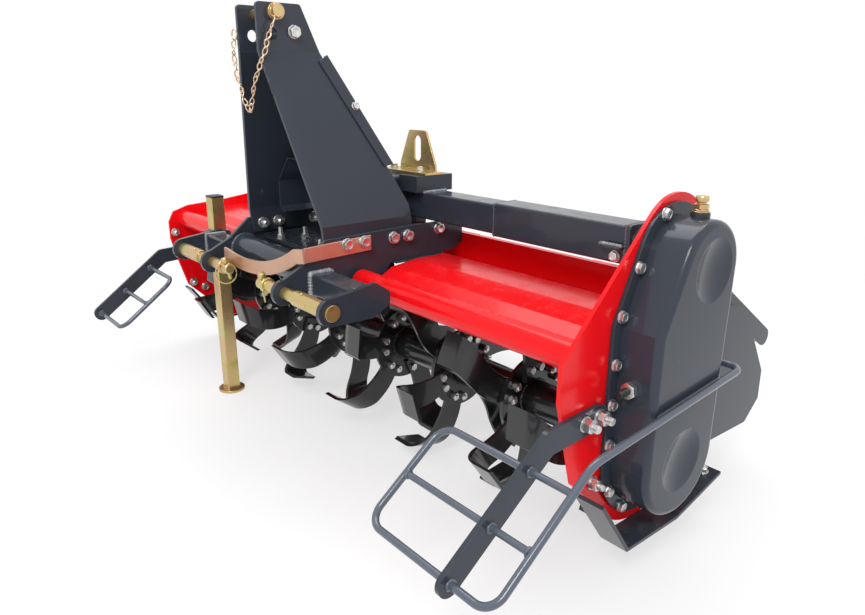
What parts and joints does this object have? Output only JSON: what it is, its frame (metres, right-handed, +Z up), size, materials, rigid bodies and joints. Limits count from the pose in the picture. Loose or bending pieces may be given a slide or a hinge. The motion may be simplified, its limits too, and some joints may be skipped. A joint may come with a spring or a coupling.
{
  "type": "rotary tiller",
  "caption": "Tractor-mounted rotary tiller with a tined rotor under a hood, side chain case, three-point hitch mast, parking leg and rod guards.",
  "frame": {"origin": "on the floor below the middle of the whole machine's bounding box", "axes": "+X across the machine towards the chain case, -Y towards the tractor, +Z up"},
  "size_m": [1.927, 1.106, 1.1],
  "materials": {
    "red_paint": "gloss red enamel",
    "dark_paint": "gloss anthracite enamel",
    "dark_casting": "anthracite enamel on rough castings",
    "guard_paint": "satin blue-grey enamel",
    "rotor_paint": "near-black enamel",
    "yellow_zinc": "yellow passivated zinc",
    "bright_zinc": "bright zinc",
    "shaft_steel": "bare machined steel"
  },
  "bodies": {
    "frame": {"adjuster_bracket": "yellow_zinc", "beam_inner": "dark_paint", "beam_sleeve": "dark_paint", "bearing_cap_left": "dark_casting", "bracket_block": "dark_paint", "centre_plate": "dark_paint", "chain_case_cover": "dark_paint", "chain_case_flange": "dark_paint", "chain_tensioner": "bright_zinc", "drive_housing": "dark_casting", "end_cheek_left": "dark_paint", "end_cheek_right": "dark_paint", "filler_plug": "yellow_zinc", "gearbox": "dark_casting", "guard_arm_left": "dark_paint", "guard_arm_right": "dark_paint", "guard_frame_left": "guard_paint", "guard_frame_right": "guard_paint", "hinge_pins": "bright_zinc", "hitch_cross_tube": "dark_paint", "hitch_ear_left": "dark_paint", "hitch_ear_right": "dark_paint", "hitch_plate_left": "dark_paint", "hitch_plate_right": "dark_paint", "hitch_tie_plate": "dark_paint", "hood_shell": "red_paint", "leg_socket": "dark_paint", "lower_link_pin_left": "yellow_zinc", "lower_link_pin_right": "yellow_zinc", "mast_plate_left": "dark_paint", "mast_plate_right": "dark_paint", "mast_rear_cover": "dark_paint", "mast_spacer": "bright_zinc", "rotor_bearing_left": "bright_zinc", "rotor_bearing_right": "bright_zinc", "shaft_guard": "dark_paint", "shaft_rest": "yellow_zinc", "side_plate_left": "red_paint", "side_plate_right": "red_paint", "skid_left": "dark_paint", "skid_right": "dark_paint", "upper_link_pin": "yellow_zinc"},
    "rotor": {"rotor_tube": "rotor_paint", "tine_ring_1": "rotor_paint", "tine_ring_2": "rotor_paint", "tine_ring_3": "rotor_paint", "tine_ring_4": "rotor_paint", "tine_ring_5": "rotor_paint", "tine_ring_6": "rotor_paint", "tine_ring_7": "rotor_paint", "tine_ring_8": "rotor_paint"},
    "tailboard": {"tailboard": "dark_paint", "tailboard_strap_left": "dark_paint", "tailboard_strap_right": "dark_paint"},
    "parking_leg": {"parking_leg": "yellow_zinc"},
    "pto_shaft": {"pto_shaft": "shaft_steel"}
  },
  "joints": [
    {"name": "rotor_spin", "type": "hinge", "parent": "frame", "child": "rotor", "pos_m": [-0.0215, -0.00935, 0.245], "axis": [1, 0, 0], "continuous": true},
    {"name": "tailboard_hinge", "type": "hinge", "parent": "frame", "child": "tailboard", "pos_m": [-0.0215, 0.29065, 0.492], "axis": [1, 0, 0], "range_deg": [0, 35]},
    {"name": "leg_slide", "type": "slide", "parent": "frame", "child": "parking_leg", "axis": [0, 0, 1], "range_m": [0, 0.25]},
    {"name": "pto_spin", "type": "hinge", "parent": "frame", "child": "pto_shaft", "pos_m": [-0.0215, -0.15935, 0.627], "axis": [0, 1, 0], "continuous": true}
  ],
  "couplings": [
    {"joint": "pto_spin", "follows": "rotor_spin", "ratio": -2.45}
  ]
}
